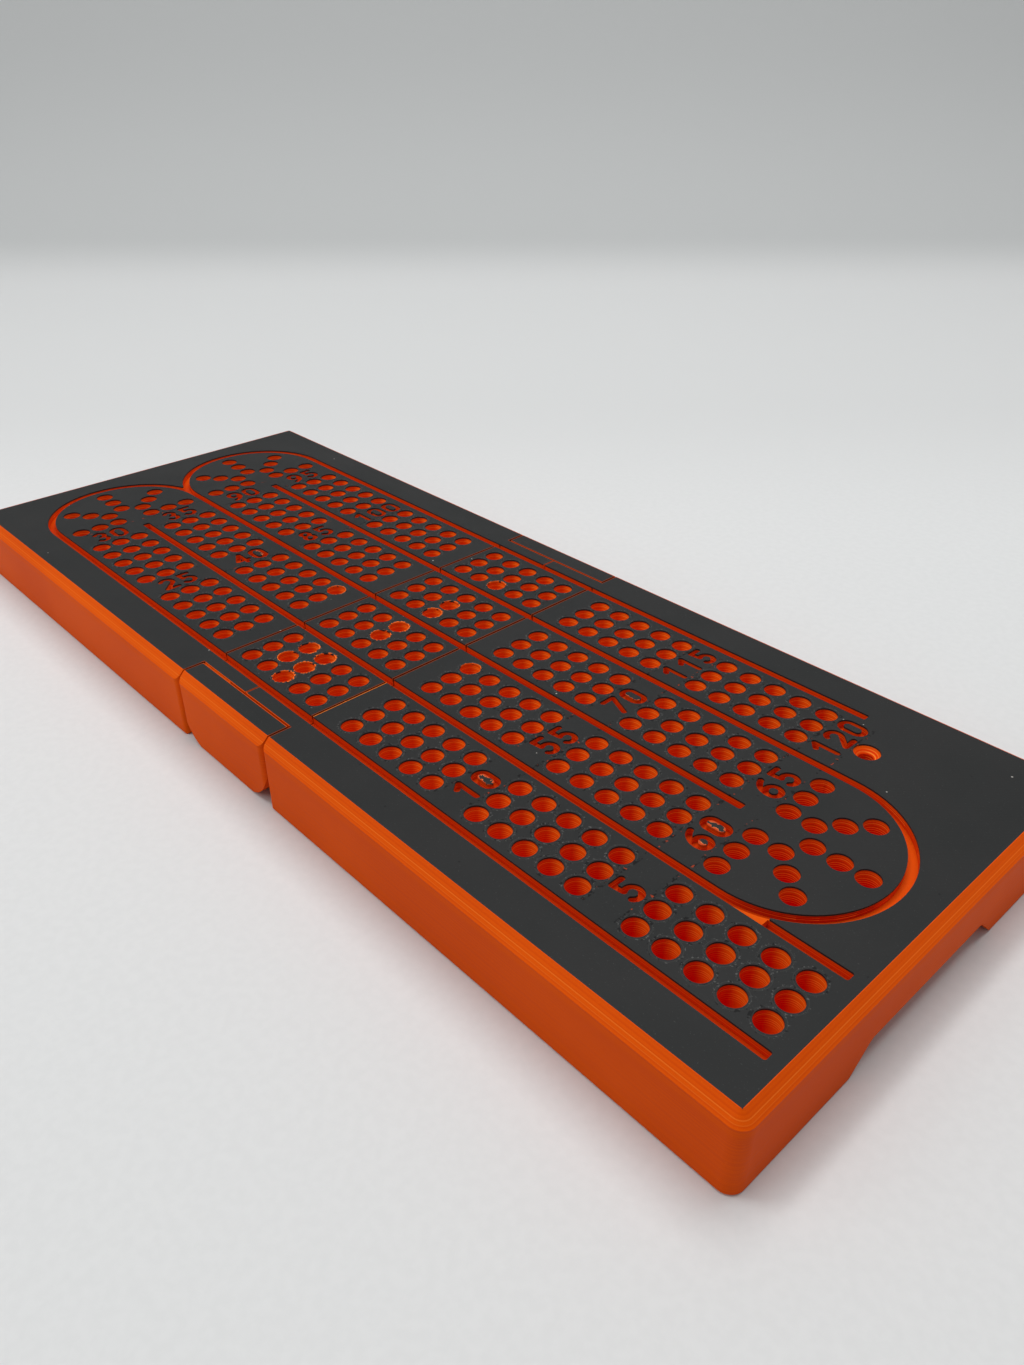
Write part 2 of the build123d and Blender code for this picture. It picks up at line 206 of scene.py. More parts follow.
def srgb(red, green, blue):
    """A colour read as 0 to 255 screen values, as the linear colour that shaders use."""
    linear = []
    for part in (red, green, blue):
        part /= 255
        linear.append(part / 12.92 if part <= 0.04045 else ((part + 0.055) / 1.055) ** 2.4)
    return (*linear, 1.0)


def blend_colour(tree, factor, first, second):
    """Two colours mixed by a factor."""
    values = {0: factor, 6: first, 7: second}
    return add_node(tree, "ShaderNodeMix", values, data_type="RGBA", blend_type="MIX").outputs[2]


def new_group(name, inputs, outputs):
    """An empty shader node group with its sockets; returns the group and its two end nodes."""
    group = bpy.data.node_groups.new(name, "ShaderNodeTree")
    for direction, sockets in (("INPUT", inputs), ("OUTPUT", outputs)):
        for socket_name, (kind, default) in sockets.items():
            socket = group.interface.new_socket(socket_name, in_out=direction, socket_type=kind)
            if default is not None:
                socket.default_value = default
    return group, group.nodes.new("NodeGroupInput"), group.nodes.new("NodeGroupOutput")


def give(group, end, **answers):
    """Joins a group's answers to its outputs by name; returns the finished group."""
    for name, value in answers.items():
        group.links.new(value, end.inputs[name])
    print("group:", group.name)
    return group


def place_group(tree, group, **values):
    """A node group placed in a material, its inputs set by name."""
    return add_node(tree, "ShaderNodeGroup", values, node_tree=group)


def new_material(name):
    """An empty node material; returns it and its node tree."""
    material = bpy.data.materials.new(name)
    material.use_nodes = True
    material.node_tree.nodes.clear()
    return material, material.node_tree


def add_surface(tree, relief, strength, depth, values):
    """The finish's shader with its bump, joined to the material's output."""
    bump = add_node(tree, "ShaderNodeBump", {"Height": relief, "Strength": strength, "Distance": depth})
    shader = add_node(tree, "ShaderNodeBsdfPrincipled", {**values, "Normal": bump.outputs["Normal"]})
    add_node(tree, "ShaderNodeOutputMaterial", {"Surface": shader.outputs[0]})


print("helpers: colours, groups and surfaces")

# %% [markdown]
# ## Print layers
#
# A printed wall is a stack of rounded beads 0.2 mm high. One group gives their height
# profile for the bump, and a second value that differs from layer to layer, because a
# printer never lays two beads quite alike. Both read the object's own Z, so the lines
# stay put when a half folds. A slow wobble keeps the lines from looking ruled.

# %% Group: print layers
LAYER_HEIGHT = 0.2 * MM
LAYER_WANDER = 0.25
WOBBLE_STRETCH = (60.0, 60.0, 900.0)


def print_layers_group():
    """The beads' height profile, and one random value for each layer."""
    group, given, end = new_group(
        "print_layers",
        {"Pitch": (FLOAT, LAYER_HEIGHT), "Wander": (FLOAT, LAYER_WANDER)},
        {"Bead": (FLOAT, None), "Shift": (FLOAT, None)},
    )
    spot = board_spot(group)
    stretched = add_node(group, "ShaderNodeMapping", {"Vector": spot.place, "Scale": WOBBLE_STRETCH})
    wobble = noise(group, stretched.outputs[0], 1.0, 2.0)
    count = math_node(group, "DIVIDE", spot.z, given.outputs["Pitch"])
    count = scaled(group, wobble, given.outputs["Wander"], count)
    centred = scaled(group, math_node(group, "FRACT", count), 2.0, -1.0)
    bead = scaled(group, times(group, centred, centred), -1.0, 1.0)
    number = math_node(group, "FLOOR", count)
    shift = add_node(group, "ShaderNodeTexWhiteNoise", {"W": number}, noise_dimensions="1D")
    return give(group, end, Bead=bead, Shift=shift.outputs["Value"])


PRINT_LAYERS = print_layers_group()

# %% [markdown]
# ## Inside the board
#
# Down in the holes, grooves and seams, light bounces from orange to orange and turns deep
# red. One group answers how deep a point lies under the top face, as a share of a hole's
# depth. It only answers near the lanes, above the card wells and well inside the outline,
# so the outer faces, the wells and the hinge arms keep their own colour.

# %% Group: depth
WELL_TOP = HOLE_DEPTH + 0.2 * MM
WELL_FADE = 1.0 * MM
EDGE_FADE = 0.5 * MM
LANES_EDGE = 2 * LANE + 1.3 * MM
LANES_FADE = 0.3 * MM


def depth_group():
    """The depth under the top face, and whether a point lies inside the outline."""
    group, given, end = new_group(
        "depth_inside",
        {"Reach": (FLOAT, HOLE_DEPTH)},
        {"Depth": (FLOAT, None), "Indoors": (FLOAT, None)},
    )
    spot = board_spot(group)
    beside = absolute(group, spot.y)
    below = minus(group, TOP, spot.z)
    share = math_node(group, "DIVIDE", below, given.outputs["Reach"], clamp=True)
    from_end = minus(group, HALF_LENGTH - RIM, absolute(group, spot.x))
    from_side = minus(group, HALF_WIDTH - RIM, beside)
    indoors = ramp(group, math_node(group, "MINIMUM", from_end, from_side), 0.0, EDGE_FADE)
    by_lanes = ramp(group, beside, LANES_EDGE, LANES_EDGE + LANES_FADE, 1.0, 0.0)
    above_wells = ramp(group, below, WELL_TOP, WELL_TOP + WELL_FADE, 1.0, 0.0)
    return give(group, end, Depth=times(group, share, by_lanes, above_wells, indoors), Indoors=indoors)


DEPTH_INSIDE = depth_group()

# %% [markdown]
# ## Worn rims
#
# The black layer has broken away around some holes, most of them on the middle block, and
# the orange body shows as a bright ragged ring. A picture of the wear would tie it to one
# hole, so it is worked out around any centre instead. One group answers
# whether a point lies inside such a ring: it measures the distance to a hole's centre,
# makes the ring's outer edge uneven with noise and lets it lean to one side. A second,
# coarser noise breaks the ring up.

# %% Group: worn rim
RING_RAGGED = 1900.0
RING_BREAKS = 620.0
RING_EDGE = 0.06 * MM


def worn_rim_group():
    """A mask for the bare ring around one hole."""
    group, given, end = new_group(
        "worn_rim",
        {"Centre": (VECTOR, None), "Width": (FLOAT, 0.5 * MM), "Lean": (VECTOR, None)},
        {"Mask": (FLOAT, None)},
    )
    spot = board_spot(group)
    flat = vector_node(group, "MULTIPLY", spot.place, (1.0, 1.0, 0.0))
    offset = vector_node(group, "SUBTRACT", flat, given.outputs["Centre"])
    distance = vector_node(group, "LENGTH", offset, output="Value")
    heading = vector_node(group, "NORMALIZE", offset)
    leaning = vector_node(group, "DOT_PRODUCT", heading, given.outputs["Lean"], output="Value")
    uneven = scaled(group, noise(group, spot.place, RING_RAGGED, 3.0), 3.4, -1.15)
    reach = scaled(group, leaning, 0.45, uneven)
    edge = scaled(group, reach, given.outputs["Width"], HOLE_RADIUS)
    inside = ramp(group, minus(group, edge, distance), 0.0, RING_EDGE)
    whole = ramp(group, noise(group, spot.place, RING_BREAKS, 1.0), 0.4, 0.46)
    return give(group, end, Mask=times(group, inside, whole))


WORN_RIM = worn_rim_group()

# %% [markdown]
# ## The nearest hole
#
# The printer drew a few rings around every hole before it filled the rest of the layer,
# and left tiny pits where a ring starts. Inside the holes, one side of the wall is lit
# and the other isn't. Both need the nearest hole of the grid, so one group finds it by
# rounding, and answers the distance to its rim and the heading from its centre. Every
# sixth row has numerals or a seam instead of holes, and past the last row there are no
# holes on this grid, so the distance there is made large.

# %% Group: the nearest rim
ROWS_TO_NUMERAL = 6.0
FIRST_NUMERAL = 3.0
LAST_ROW = 14.5
START_ROWS = 6.0


def nearest_rim_group():
    """The distance to the rim of the nearest hole, and the heading from its centre."""
    group, given, end = new_group(
        "nearest_rim",
        {"Row": (FLOAT, ROW)},
        {"Distance": (FLOAT, None), "Heading": (VECTOR, None)},
    )
    spot = board_spot(group)
    row = math_node(group, "ROUND", math_node(group, "DIVIDE", spot.x, given.outputs["Row"]))
    from_row = minus(group, spot.x, times(group, row, given.outputs["Row"]))
    lane = math_node(group, "ROUND", scaled(group, spot.y, 1 / LANE, 0.5))
    from_lane = minus(group, spot.y, times(group, minus(group, lane, 0.5), LANE))
    step = math_node(group, "ROUND", math_node(group, "DIVIDE", from_lane, ACROSS))
    step = math_node(group, "MINIMUM", math_node(group, "MAXIMUM", step, -1.0), 1.0)
    from_step = minus(group, from_lane, times(group, step, ACROSS))
    gap = add_node(group, "ShaderNodeCombineXYZ", {0: from_row, 1: from_step}).outputs[0]
    from_rim = minus(group, vector_node(group, "LENGTH", gap, output="Value"), HOLE_RADIUS)
    distance = scaled(group, rows_without_holes(group, spot, row), LANE, from_rim)
    return give(group, end, Distance=distance, Heading=vector_node(group, "NORMALIZE", gap))


def rows_without_holes(group, spot, row):
    """A mask for numeral rows and for all that lies past the grid of holes."""
    count = absolute(group, row)
    numeral = math_node(group, "MODULO", math_node(group, "ADD", count, FIRST_NUMERAL), ROWS_TO_NUMERAL)
    numeral = math_node(group, "LESS_THAN", numeral, 0.5)
    right_side = math_node(group, "GREATER_THAN", spot.x, 0.0)
    first_lane = math_node(group, "LESS_THAN", spot.y, -LANE)
    last_row = scaled(group, times(group, right_side, first_lane), START_ROWS, LAST_ROW)
    past_rows = math_node(group, "GREATER_THAN", count, last_row)
    past_lanes = math_node(group, "GREATER_THAN", absolute(group, spot.y), 2 * LANE)
    return math_node(group, "MAXIMUM", numeral, math_node(group, "MAXIMUM", past_rows, past_lanes))


NEAREST_RIM = nearest_rim_group()

# %% [markdown]
# ## Chipped islands
#
# Inside a zero or another closed digit stands a small island of the black layer, with
# straight sides and round ends. On a few numerals its edges have chipped and the body
# shows through. The group measures how close a point lies to the edge, on one side.

# %% Group: chipped island
ISLAND_HALF = 0.95 * MM
ZERO_STRAIGHT = 1.15 * MM
CHIP_RAGGED = 1100.0
CHIP_EDGE = 0.05 * MM
CHIP_TURN = 0.3 * MM


def chipped_island_group():
    """A mask for the chips along one side of an island."""
    group, given, end = new_group(
        "chipped_island",
        {
            "Centre": (VECTOR, None),
            "Side": (FLOAT, 1.0),
            "Width": (FLOAT, 0.4 * MM),
            "Straight": (FLOAT, ZERO_STRAIGHT),
        },
        {"Mask": (FLOAT, None)},
    )
    spot = board_spot(group)
    offset = vector_node(group, "SUBTRACT", spot.place, given.outputs["Centre"])
    parts = add_node(group, "ShaderNodeSeparateXYZ", {0: offset}).outputs
    along = minus(group, absolute(group, parts["X"]), given.outputs["Straight"])
    along = math_node(group, "MAXIMUM", along, 0.0)
    across = times(group, parts["Y"], given.outputs["Side"])
    gap = add_node(group, "ShaderNodeCombineXYZ", {0: along, 1: across}).outputs[0]
    away = vector_node(group, "LENGTH", gap, output="Value")
    ragged = ramp(group, noise(group, spot.place, CHIP_RAGGED, 3.0), 0.36, 0.62)
    width = times(group, ragged, given.outputs["Width"])
    into = math_node(group, "ADD", minus(group, away, ISLAND_HALF), width)
    chip = times(group, ramp(group, into, 0.0, CHIP_EDGE), ramp(group, across, 0.0, CHIP_TURN))
    on_island = ramp(group, away, ISLAND_HALF + 0.1 * MM, ISLAND_HALF + 0.2 * MM, 1.0, 0.0)
    return give(group, end, Mask=times(group, chip, on_island))


CHIPPED_ISLAND = chipped_island_group()

# %% [markdown]
# ## The orange print
#
# Matte filament of one colour: light enters a little and comes back out saturated. The
# colour drifts slightly over the whole board, each layer differs a touch from its
# neighbours, and a few grains are paler. This plain tone is the start of the recipe, and
# the next cells lay the marks of the holes, grooves, rim and seams over it.

# %% Orange: the plain tone
ORANGE = srgb(224, 82, 3)
ORANGE_DEEP = srgb(212, 72, 2)
ORANGE_PALE = srgb(236, 98, 4)
BODY_CLOUDS = 18.0
BODY_GRAIN = 2600.0


def plain_orange(tree, spot, shift, grain):
    """Orange that drifts over the board and from layer to layer."""
    clouds = noise(tree, spot.place, BODY_CLOUDS, 4.0)
    tone = blend_colour(tree, ramp(tree, clouds, 0.35, 0.65), ORANGE, ORANGE_DEEP)
    tone = blend_colour(tree, times(tree, shift, 0.35), tone, ORANGE_PALE)
    return blend_colour(tree, ramp(tree, grain, 0.62, 0.72, 0.0, 0.3), tone, ORANGE_PALE)


print("orange:", [round(part, 3) for part in ORANGE[:3]])

# %% [markdown]
# ## Red inside
#
# Down in the cuts the light has bounced from orange to orange, so the walls turn redder
# with depth. Cycles bounces light as well, but the lamps here are simpler than a room, so
# this bounced light is also painted in, as a red tone that follows the depth. On the real
# board the inner wall of the right turn is nearly pure red in its near quarter, where it
# gets only bounced light. The window lamp of this scene reaches it there, so painted shade
# darkens it under a mask of its own.

# %% Orange: walls of holes and grooves
# painted bounce light: red that grows with depth; painted shade for the right turn's wall
BOUNCE_RED_WALL = srgb(226, 56, 0)
BOUNCE_RED_FLOOR = srgb(222, 12, 0)
TURN_SHADE_RED = srgb(178, 4, 0)
TURN_WALL = LANE - GROOVE_WIDTH / 2


def turn_distance(tree, spot):
    """Distance to the centre of the nearest turn: one at the right end, two at the left."""
    past_turn = minus(tree, absolute(tree, spot.x), TURN_X)
    left_side = math_node(tree, "LESS_THAN", spot.x, 0.0)
    values = {0: left_side, 2: spot.y, 3: minus(tree, absolute(tree, spot.y), LANE)}
    beside = add_node(tree, "ShaderNodeMix", values, data_type="FLOAT").outputs[0]
    from_turn = add_node(tree, "ShaderNodeCombineXYZ", {0: past_turn, 1: beside}).outputs[0]
    return vector_node(tree, "LENGTH", from_turn, output="Value")


def red_inside(tree, tone, spot, deep, from_turn):
    """Painted bounce light that turns the walls red with depth, and painted shade on the right turn's wall.
    """
    tone = blend_colour(tree, ramp(tree, deep, 0.06, 0.16), tone, BOUNCE_RED_WALL)
    tone = blend_colour(tree, ramp(tree, deep, 0.24, 0.6), tone, BOUNCE_RED_FLOOR)
    unlit = times(
        tree,
        near(tree, from_turn, TURN_WALL, 0.15 * MM, 0.3 * MM, 0.85),
        ramp(tree, deep, 0.04, 0.1),
        ramp(tree, spot.y, -6 * MM, -2 * MM, 1.0, 0.0),
        ramp(tree, spot.x, TURN_X, TURN_X + 6 * MM),
    )
    return blend_colour(tree, unlit, tone, TURN_SHADE_RED)


print("turn's inner wall at", round(TURN_WALL / MM, 2), "mm")

# %% [markdown]
# ## Lit and unlit sides of the holes
#
# In each hole one side of the wall faces the window, and painted light makes it a clear
# orange; the other is in shade, painted as a dull red that gets deeper towards the right
# end. The heading from the hole's centre, compared with the direction of the light, says
# which side a point is on. The holes in the turns don't sit on the grid, so they only get a
# mask of their own.

# %% Orange: the holes
# painted shade and painted light for the two sides of the holes' walls
HOLE_SHADE = srgb(208, 46, 2)
HOLE_SHADE_DEEP = srgb(214, 2, 0)
HOLE_LIT = srgb(240, 98, 5)
LIT_SIDE = (0.68, 0.73, 0.0)
NEAR_END_START = 60 * MM
NEAR_END_FULL = 112 * MM
TURN_HOLES_REACH = LANE - 2.5 * MM
Holes = namedtuple("Holes", "inside in_turn facing near_end")


def hole_masks(tree, spot, deep, from_turn):
    """Masks for the walls of holes, the turns' holes, the lit side and the right end."""
    nearest = place_group(tree, NEAREST_RIM, Row=ROW)
    towards = vector_node(tree, "DOT_PRODUCT", nearest.outputs["Heading"], LIT_SIDE, output="Value")
    on_wall = near(tree, nearest.outputs["Distance"], 0.0, 0.1 * MM, 0.2 * MM)
    at_turn = math_node(tree, "GREATER_THAN", absolute(tree, spot.x), TURN_X - ROW)
    in_turn = math_node(tree, "LESS_THAN", from_turn, TURN_HOLES_REACH)
    return Holes(
        times(tree, on_wall, ramp(tree, deep, 0.04, 0.12)),
        times(tree, at_turn, in_turn),
        ramp(tree, towards, -0.1, 0.75),
        ramp(tree, spot.x, NEAR_END_START, NEAR_END_FULL),
    )


def hole_walls(tree, tone, holes):
    """Painted light and painted shade on the two sides of the holes' walls."""
    shade = blend_colour(tree, holes.near_end, HOLE_SHADE, HOLE_SHADE_DEEP)
    wall = blend_colour(tree, holes.facing, shade, HOLE_LIT)
    return blend_colour(tree, holes.inside, tone, wall)


print("lit side of the holes:", LIT_SIDE)

# %% [markdown]
# ## Groove floors and layer arcs
#
# The floor of a groove is flat. It is painted darker than its walls, as shade, and painted
# brighter in the outer part of the turns, as light. It all lies at one depth, so the depth
# group finds it and no face has to be picked. In the holes, single layers catch the light,
# and painted highlights draw them as thin bright arcs, strongest on the lit side. The layer
# group draws them with a coarser pitch, and its random value picks which layers show.

# %% Orange: groove floors and arcs
# painted shade on the grooves' floors, and painted light on the floors in the turns
GROOVE_FLOOR_SHADE = srgb(188, 48, 0)
TURN_FLOOR_LIT = srgb(214, 78, 2)
FLOOR_SHARE = GROOVE_DEPTH / HOLE_DEPTH
START_LANE_EDGE = -0.85 * LANE
# painted highlight of the layer arcs in the holes
ARC_HIGHLIGHT = srgb(255, 150, 56)
ARC_PITCH = 0.5 * MM
ARC_WANDER = 0.4
TURN_FACING = 0.6


def groove_floors(tree, tone, spot, deep, holes):
    """Painted shade on the flat floors at the grooves' depth, and painted light in the turns."""
    off_floor = absolute(tree, minus(tree, deep, FLOOR_SHARE))
    off_floor = math_node(tree, "ADD", off_floor, holes.inside)
    far_out = ramp(tree, absolute(tree, spot.x), TURN_X + 8 * MM, TURN_X + 20 * MM)
    left_side = math_node(tree, "LESS_THAN", spot.x, 0.0)
    past_start = math_node(tree, "GREATER_THAN", spot.y, START_LANE_EDGE)
    at_turn = times(tree, far_out, math_node(tree, "MAXIMUM", left_side, past_start))
    bed = blend_colour(tree, at_turn, GROOVE_FLOOR_SHADE, TURN_FLOOR_LIT)
    return blend_colour(tree, ramp(tree, off_floor, 0.004, 0.012, 0.9, 0.0), tone, bed)


def layer_arcs(tree, tone, deep, holes):
    """Painted highlights: thin bright arcs where single layers of a wall catch the light."""
    facing = times(tree, holes.facing, minus(tree, 1.0, holes.in_turn))
    facing = scaled(tree, holes.in_turn, TURN_FACING, facing)
    arcs = place_group(tree, PRINT_LAYERS, Pitch=ARC_PITCH, Wander=ARC_WANDER)
    arc = times(
        tree,
        ramp(tree, arcs.outputs["Bead"], 0.8, 1.0),
        ramp(tree, arcs.outputs["Shift"], 0.25, 0.45),
        ramp(tree, deep, 0.08, 0.16),
        ramp(tree, deep, 0.35, 0.75, 1.0, 0.0),
        scaled(tree, facing, 0.8, 0.2),
    )
    return blend_colour(tree, arc, tone, ARC_HIGHLIGHT)


print("groove floor at", round(FLOOR_SHARE, 3), "of a hole's depth")

# %% [markdown]
# ## The rim
#
# On the sloped rim the layers end as steps that catch the light, so a print shows pale
# lines there. Two of them are clear all the way round the board; the rest are faint
# bands. They could be steps in the mesh, but painted highlights that read the height are
# enough for lines this thin.

# %% Orange: the rim
# painted highlight of the rim's layer steps; the seams below use this colour as well
LINE_PALE = srgb(242, 126, 40)
BAND_PITCH = 0.62 * MM
BAND_WANDER = 0.15
BAND_STRENGTH = 0.22
# drop of each clear line below the top face in mm, and its strength
RIM_LINES = [(1.25, 0.55), (1.75, 0.3)]


def rim_lines(tree, tone, spot):
    """Painted highlights: faint bands on the sloped rim, and its clear lines."""
    bands = place_group(tree, PRINT_LAYERS, Pitch=BAND_PITCH, Wander=BAND_WANDER)
    band = ramp(tree, bands.outputs["Bead"], 0.72, 1.0)
    slope = ramp(tree, spot.z, TOP - RIM - 0.2 * MM, TOP - RIM)
    tone = blend_colour(tree, times(tree, band, slope, BAND_STRENGTH), tone, ORANGE_PALE)
    for drop, strength in RIM_LINES:
        line = near(tree, spot.z, TOP - drop * MM, 0.02 * MM, 0.1 * MM, strength)
        tone = blend_colour(tree, line, tone, LINE_PALE)
    return tone


print("rim lines:", len(RIM_LINES))

# %% [markdown]
# ## The seams
#
# Between a half and the block the walls are in deep shade, so their upper millimetre is
# painted brown as shade. Below it the faces keep the plain orange, because they become outer
# faces when the board is folded. The black layer stops just short of each edge, and the
# body shows there as a hairline land, which is bright along the first lane of the right
# half. Masks by place do all this, because the imported model's faces stay whole.

# %% Orange: the seams
# painted shade on the upper millimetre of the seams' walls
SEAM_WALL_SHADE = srgb(118, 46, 20)
SEAM_LAND = srgb(146, 62, 30)
SEAM_SHADE_END = 1.4 * MM
SEAM_SHADE_START = 0.6 * MM


def seam_tones(tree, tone, plain, spot, indoors):
    """Painted shade on the walls of the seams, and the lands of the seams."""
    at_seam = near(tree, absolute(tree, spot.x), CROSS_SEAM_X, 0.28 * MM, 0.34 * MM)
    low = ramp(tree, spot.z, TOP - SEAM_SHADE_END, TOP - SEAM_SHADE_START, 1.0, 0.0)
    tone = blend_colour(tree, times(tree, ramp(tree, at_seam, 0.2, 0.6), low), tone, plain)
    tone = blend_colour(tree, times(tree, at_seam, indoors, minus(tree, 1.0, low)), tone, SEAM_WALL_SHADE)
    off_link = absolute(tree, math_node(tree, "ADD", spot.y, LINK_SEAM_Y))
    land = times(
        tree,
        indoors,
        ramp(tree, spot.z, TOP - 0.06 * MM, TOP - 0.03 * MM),
        ramp(tree, off_link, 0.6 * MM, 0.8 * MM),
    )
    tone = blend_colour(tree, land, tone, SEAM_LAND)
    off_lane = absolute(tree, minus(tree, spot.y, -1.5 * LANE))
    first_lane = math_node(tree, "LESS_THAN", off_lane, LANE / 2)
    right_half = math_node(tree, "GREATER_THAN", spot.x, CROSS_SEAM_X)
    return blend_colour(tree, times(tree, first_lane, right_half, land), tone, LINE_PALE)


print("seams at", round(CROSS_SEAM_X / MM, 2), "and", round(LINK_SEAM_Y / MM, 2), "mm")

# %% [markdown]
# ## Light through the walls
#
# The filament between two holes is thin enough to pass a little light, and the walls of
# the real holes are brighter than bounced light alone makes them. Subsurface scattering
# could do this, but it makes a picture slower and noisier, so the walls get a painted glow
# instead, a faint emission of their own colour, weaker towards the right end.

# %% Material: orange print
# painted glow: the holes' walls give off a faint light of their own colour
GLOW = 0.145
NEAR_END_LOSS = -0.55
TURN_GLOW = 0.4
NO_GLOW = (0.0, 0.0, 0.0, 1.0)
ORANGE_SHINE = 0.05
ORANGE_BUMP = 0.22
PRINT_RELIEF = 0.03 * MM


def wall_glow(tree, tone, deep, holes):
    """The painted glow that the holes' walls give off."""
    share = times(tree, holes.inside, scaled(tree, holes.near_end, NEAR_END_LOSS, 1.0))
    turn_share = times(tree, holes.in_turn, ramp(tree, deep, 0.04, 0.12, 0.0, TURN_GLOW))
    return blend_colour(tree, math_node(tree, "MAXIMUM", share, turn_share), NO_GLOW, tone)


def orange_print():
    """The body's finish."""
    material, tree = new_material("orange_print")
    spot = board_spot(tree)
    beads = place_group(tree, PRINT_LAYERS, Pitch=LAYER_HEIGHT, Wander=LAYER_WANDER)
    shift = beads.outputs["Shift"]
    grain = noise(tree, spot.place, BODY_GRAIN, 3.0)
    inner = place_group(tree, DEPTH_INSIDE, Reach=HOLE_DEPTH)
    deep = inner.outputs["Depth"]
    from_turn = turn_distance(tree, spot)
    holes = hole_masks(tree, spot, deep, from_turn)

    plain = plain_orange(tree, spot, shift, grain)
    tone = red_inside(tree, plain, spot, deep, from_turn)
    tone = hole_walls(tree, tone, holes)
    tone = groove_floors(tree, tone, spot, deep, holes)
    tone = layer_arcs(tree, tone, deep, holes)
    tone = rim_lines(tree, tone, spot)
    tone = seam_tones(tree, tone, plain, spot, inner.outputs["Indoors"])

    relief = scaled(tree, grain, 0.25, beads.outputs["Bead"])
    relief = times(tree, relief, ramp(tree, deep, 0.04, 0.1, 1.0, 0.4))
    finish = {
        "Base Color": tone,
        "Roughness": scaled(tree, shift, 0.16, 0.5),
        "Specular IOR Level": ORANGE_SHINE,
        "Emission Color": wall_glow(tree, tone, deep, holes),
        "Emission Strength": GLOW,
    }
    add_surface(tree, relief, ORANGE_BUMP, PRINT_RELIEF, finish)
    return material


body_print = orange_print()
print("material:", body_print.name)

# %% [markdown]
# ## Marks on the black layer
#
# The same filament family in near-black. Around the holes there is a faint ring line
# from the printer, with pits and pale crumbs where the rings start. Beside the numerals
# the layer is stippled with dark and orange specks. Dust and deeper pits are rare, so
# they use a Voronoi texture: a random value for each cell leaves only a few of them.

# %% Black: marks
SCUFF = srgb(120, 120, 118)
PIT_BLACK = srgb(12, 12, 13)
CRUMB_BLACK = srgb(10, 9, 9)
SPECK_ORANGE = srgb(150, 52, 20)
RING_LINE = 0.45 * MM
RING_STARTS = 0.5 * MM
START_PIT_SCALE = 1150.0
START_CRUMB_SCALE = 2100.0
NUMERAL_CRUMB_SCALE = 1050.0
NUMERAL_SPECK_SCALE = 1150.0
NUMERALS_MIDDLE = 12 * ROW
NUMERALS_APART = 3 * ROW
NUMERAL_EDGE = 4.0 * MM
LANES_END = 2 * LANE - ROW / 2


def rare_spots(tree, spot, cells, size, strength, rarity):
    """Small round spots in a few of a Voronoi texture's cells."""
    texture = add_node(tree, "ShaderNodeTexVoronoi", {"Vector": spot.place, "Scale": cells}, feature="F1")
    lone = add_node(tree, "ShaderNodeTexWhiteNoise", {"Vector": texture.outputs["Position"]})
    shape = ramp(tree, texture.outputs["Distance"], *size, strength, 0.0)
    return times(tree, shape, ramp(tree, lone.outputs["Value"], *rarity))


def hole_marks(tree, tone, spot):
    """The ring line around each hole, with its pits and crumbs."""
    from_rim = place_group(tree, NEAREST_RIM, Row=ROW).outputs["Distance"]
    tone = blend_colour(tree, near(tree, from_rim, RING_LINE, 0.02 * MM, 0.12 * MM, 0.08), tone, SCUFF)
    zone = near(tree, from_rim, RING_STARTS, 0.25 * MM, 0.4 * MM)
    pits = ramp(tree, noise(tree, spot.place, START_PIT_SCALE, 1.0), 0.62, 0.66, 0.0, 0.95)
    tone = blend_colour(tree, times(tree, pits, zone), tone, PIT_BLACK)
    crumbs = ramp(tree, noise(tree, spot.place, START_CRUMB_SCALE, 2.0), 0.6, 0.68, 0.0, 0.4)
    return blend_colour(tree, times(tree, crumbs, zone), tone, SCUFF)


def numeral_marks(tree, tone, spot):
    """Dark and orange specks along both edges of each numeral's row."""
    off_middle = absolute(tree, minus(tree, absolute(tree, spot.x), NUMERALS_MIDDLE))
    off_numeral = absolute(tree, minus(tree, off_middle, NUMERALS_APART))
    in_lanes = math_node(tree, "LESS_THAN", absolute(tree, spot.y), LANES_END)
    beside = times(tree, near(tree, off_numeral, NUMERAL_EDGE, 0.3 * MM, 0.5 * MM), in_lanes)
    crumbs = ramp(tree, noise(tree, spot.place, NUMERAL_CRUMB_SCALE, 2.0), 0.56, 0.585)
    tone = blend_colour(tree, times(tree, crumbs, beside), tone, CRUMB_BLACK)
    specks = ramp(tree, noise(tree, spot.place, NUMERAL_SPECK_SCALE, 2.0), 0.67, 0.69)
    return blend_colour(tree, times(tree, specks, beside), tone, SPECK_ORANGE)


print("numeral rows at", [round((NUMERALS_MIDDLE + side * NUMERALS_APART) / MM, 1) for side in (-1, 1)])

# %% [markdown]
# ## Where the black layer is chipped
#
# These places were read off the photograph: bare rings around holes, and chipped edges of
# the islands in the numerals. A chip has two tones, the broken edge of the layer, which
# is pale, and the body's own orange further in.

# %% Black: chips and worn rims
WORN_ORANGE = srgb(242, 106, 20)
CHIP_PALE = srgb(240, 140, 84)
CHIP_BODY = srgb(196, 66, 14)
CHIP_BODY_SHARE = 0.78
DIGIT_OFFSET = 2.8 * MM
WORN_RIMS = [
    # row, lane, step across, ring width in mm, lean of the ring
    (0, 1, -1, 0.42, (0.1, 0.6)),
    (0, 1, 0, 0.38, (0.1, 0.5)),
    (0, 1, 1, 0.40, (0.3, 0.9)),
    (-1, 1, 0, 0.22, (-0.6, -0.6)),
    (-1, 1, 1, 0.32, (0.8, 0.6)),
    (0, 2, 0, 0.30, (0.2, 0.2)),
    (0, 2, 1, 0.36, (-0.2, 0.9)),
    (0, 3, -1, 0.34, (0.3, 0.9)),
    (0, 3, 0, 0.30, (0.3, 0.8)),
    (0, 4, -1, 0.28, (0.2, 0.9)),
    (-4, 2, 1, 0.20, (0.2, 0.9)),
    (4, 2, 1, 0.16, (0.2, 0.9)),
]
